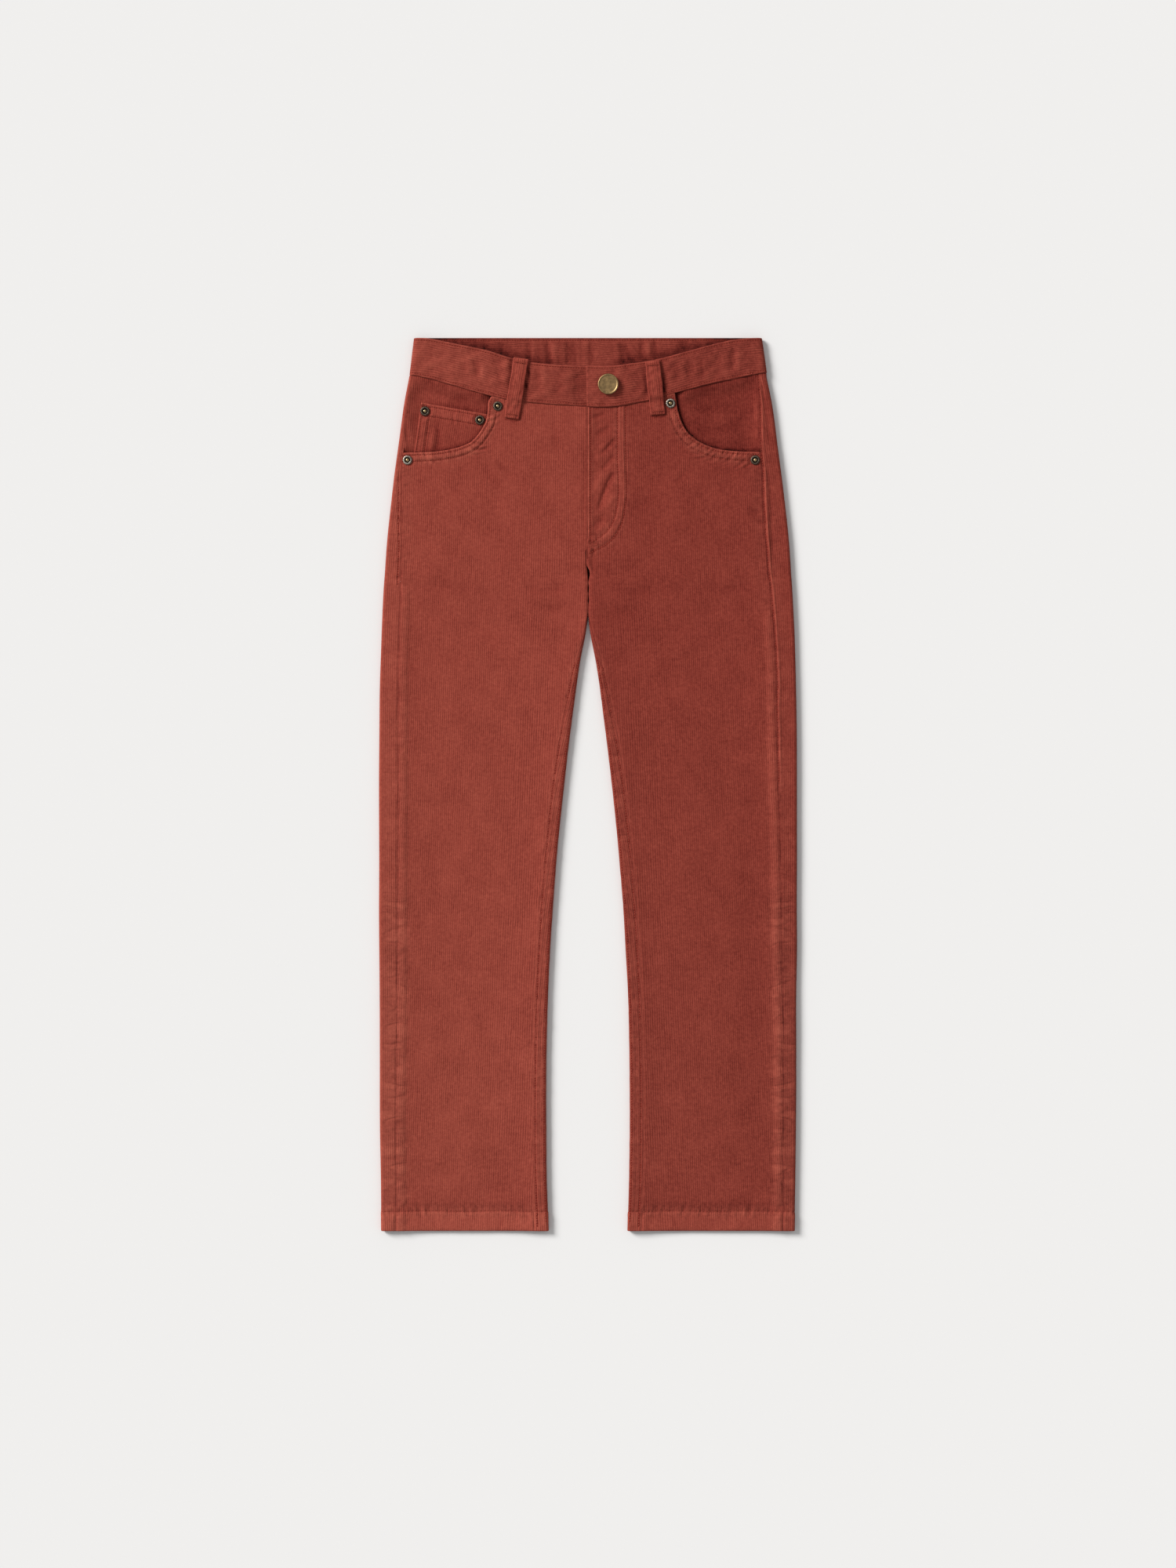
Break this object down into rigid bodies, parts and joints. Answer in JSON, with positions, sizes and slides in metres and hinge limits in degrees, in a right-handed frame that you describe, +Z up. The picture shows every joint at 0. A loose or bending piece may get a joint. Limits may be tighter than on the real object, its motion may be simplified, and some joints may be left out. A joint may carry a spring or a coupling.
{
  "type": "corduroy trousers",
  "caption": "Child's straight-leg corduroy trousers laid flat, front up, with scooped front pockets, a coin pocket, belt loops and a buttoned fly waistband.",
  "frame": {"origin": "middle of the bounding box's footprint, on the surface the trousers lie on", "axes": "+X to the wearer's left, +Y from the hems to the waist, +Z up out of the front"},
  "size_m": [0.3524, 0.7524, 0.0099],
  "materials": {
    "corduroy": "rust-brown cotton corduroy, wales 1.75 mm apart, soft nap",
    "thread": "matching sewing thread",
    "antique_brass": "antique brass, worn bright on the rim",
    "dark_bronze": "dark bronze with a brighter middle"
  },
  "bodies": {
    "root": {"front_right": "corduroy", "front_left": "corduroy", "back_right": "corduroy", "back_left": "corduroy", "pocket_facing_right": "corduroy", "pocket_facing_left": "corduroy", "coin_pocket": "corduroy", "waistband": "corduroy", "belt_loop_right": "corduroy", "belt_loop_left": "corduroy", "button": "antique_brass", "rivet_right_waist": "dark_bronze", "rivet_right_side": "dark_bronze", "rivet_left_waist": "dark_bronze", "rivet_left_side": "dark_bronze", "rivet_coin_outer": "dark_bronze", "rivet_coin_inner": "dark_bronze"}
  },
  "joints": []
}
